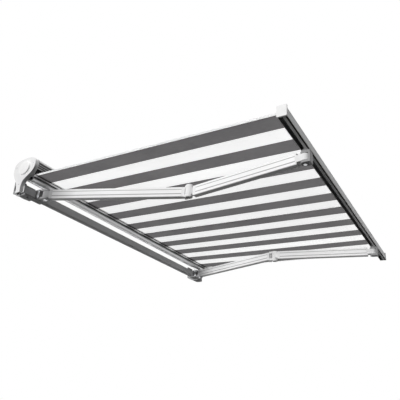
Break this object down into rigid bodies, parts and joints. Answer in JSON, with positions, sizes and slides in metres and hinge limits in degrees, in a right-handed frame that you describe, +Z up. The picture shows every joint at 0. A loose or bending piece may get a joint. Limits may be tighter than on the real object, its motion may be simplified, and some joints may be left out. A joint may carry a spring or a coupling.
{
  "type": "folding-arm canvas awning",
  "caption": "Retractable patio awning: striped canvas from a wall-fixed cassette to a front bar on two folding arms, shown open from below.",
  "frame": {"origin": "middle of the back face of the left wall bracket, on the wall", "axes": "+X along the wall from the motor end to the idler end, +Y into the wall, +Z up; the awning opens towards -Y"},
  "size_m": [2.4246, 1.9774, 0.4173],
  "materials": {
    "white_paint": "satin white powder coat",
    "cast_paint": "white powder coat over cast metal",
    "grey_cast": "grey coat over cast metal",
    "white_plastic": "matt white",
    "zinc_steel": "zinc plated",
    "dark_plastic": "matt black",
    "striped_canvas": "woven canvas with grey and white stripes"
  },
  "bodies": {
    "cassette": {"torsion_bar": "white_paint", "hood": "white_paint", "tray": "white_paint", "idler_bush": "white_plastic", "tubular_motor": "dark_plastic", "cable_gland": "dark_plastic", "wall_bracket_left": "white_paint", "wall_bracket_right": "white_paint", "clamp_bolt_left": "zinc_steel", "clamp_bolt_right": "zinc_steel", "side_plate_left": "cast_paint", "side_plate_right": "cast_paint", "bar_plug_left": "white_plastic", "bar_plug_right": "white_plastic", "end_cover_left": "white_paint", "end_cover_right": "white_paint", "cover_boss_left": "white_plastic", "cover_boss_right": "white_plastic", "shoulder_base_left": "grey_cast", "shoulder_base_right": "grey_cast", "tilt_pin_left": "zinc_steel", "tilt_pin_right": "zinc_steel"},
    "roller": {"roller_tube": "zinc_steel", "cloth_roll": "striped_canvas", "motor_crown": "dark_plastic", "drive_wheel": "dark_plastic", "idler_plug": "dark_plastic"},
    "pitch_left": {"shoulder_fork_left": "grey_cast", "lock_bolt_left": "zinc_steel", "shoulder_pin_left": "zinc_steel", "awning_cloth": "striped_canvas"},
    "pitch_right": {"shoulder_fork_right": "grey_cast", "lock_bolt_right": "zinc_steel", "shoulder_pin_right": "zinc_steel"},
    "upper_left": {"shoulder_knuckle_left": "grey_cast", "upper_arm_left": "white_paint", "elbow_fork_left": "cast_paint", "elbow_pin_left": "zinc_steel"},
    "upper_right": {"shoulder_knuckle_right": "grey_cast", "upper_arm_right": "white_paint", "elbow_fork_right": "cast_paint", "elbow_pin_right": "zinc_steel"},
    "fore_left": {"elbow_knuckle_left": "cast_paint", "forearm_left": "white_paint", "arm_spring_left": "zinc_steel", "front_knuckle_left": "cast_paint"},
    "fore_right": {"elbow_knuckle_right": "cast_paint", "forearm_right": "white_paint", "arm_spring_right": "zinc_steel", "front_knuckle_right": "cast_paint", "front_pin_right": "zinc_steel"},
    "front": {"front_bar": "white_paint", "bar_cap_left": "white_plastic", "bar_cap_right": "white_plastic", "arm_bracket_left": "grey_cast", "arm_bracket_right": "grey_cast", "front_pin_left": "zinc_steel", "hem_rod": "white_plastic", "channel_strip": "dark_plastic", "groove_strip": "dark_plastic"}
  },
  "joints": [
    {"name": "pitch_left", "type": "hinge", "parent": "cassette", "child": "pitch_left", "pos_m": [0.0877, -0.14, -0.068], "axis": [1, 0, 0], "range_deg": [0, 10]},
    {"name": "pitch_right", "type": "hinge", "parent": "cassette", "child": "pitch_right", "pos_m": [2.1581, -0.14, -0.068], "axis": [1, 0, 0], "range_deg": [0, 10]},
    {"name": "fold_left", "type": "hinge", "parent": "pitch_left", "child": "upper_left", "pos_m": [0.0877, -0.18023, -0.05502], "axis": [0, -0.0837, 0.9965], "range_deg": [0, 69], "deforming": ["awning_cloth"]},
    {"name": "fold_right", "type": "hinge", "parent": "pitch_right", "child": "upper_right", "pos_m": [2.1581, -0.18023, -0.05502], "axis": [0, -0.0837, 0.9965], "range_deg": [-69, 0]},
    {"name": "elbow_left", "type": "hinge", "parent": "upper_left", "child": "fore_left", "pos_m": [0.4087, -1.13345, -0.13507], "axis": [0, -0.0837, 0.9965], "range_deg": [-146.78, 0]},
    {"name": "elbow_right", "type": "hinge", "parent": "upper_right", "child": "fore_right", "pos_m": [1.8371, -1.13345, -0.13507], "axis": [0, -0.0837, 0.9965], "range_deg": [0, 146.78]},
    {"name": "front_left", "type": "hinge", "parent": "fore_left", "child": "front", "pos_m": [0.28853, -1.93369, -0.20226], "axis": [0, -0.0837, 0.9965], "range_deg": [0, 77.78]},
    {"name": "roller_spin", "type": "hinge", "parent": "cassette", "child": "roller", "pos_m": [1.1229, -0.12, 0.0946], "axis": [1, 0, 0], "range_deg": [0, 2330]}
  ],
  "couplings": [
    {"joint": "pitch_right", "follows": "pitch_left", "ratio": 1},
    {"joint": "fold_right", "follows": "fold_left", "ratio": -1},
    {"joint": "elbow_left", "follows": "fold_left", "ratio": -2.12},
    {"joint": "elbow_right", "follows": "fold_left", "ratio": 2.12},
    {"joint": "front_left", "follows": "fold_left", "ratio": 1.12},
    {"joint": "roller_spin", "follows": "fold_left", "ratio": 33.476}
  ]
}
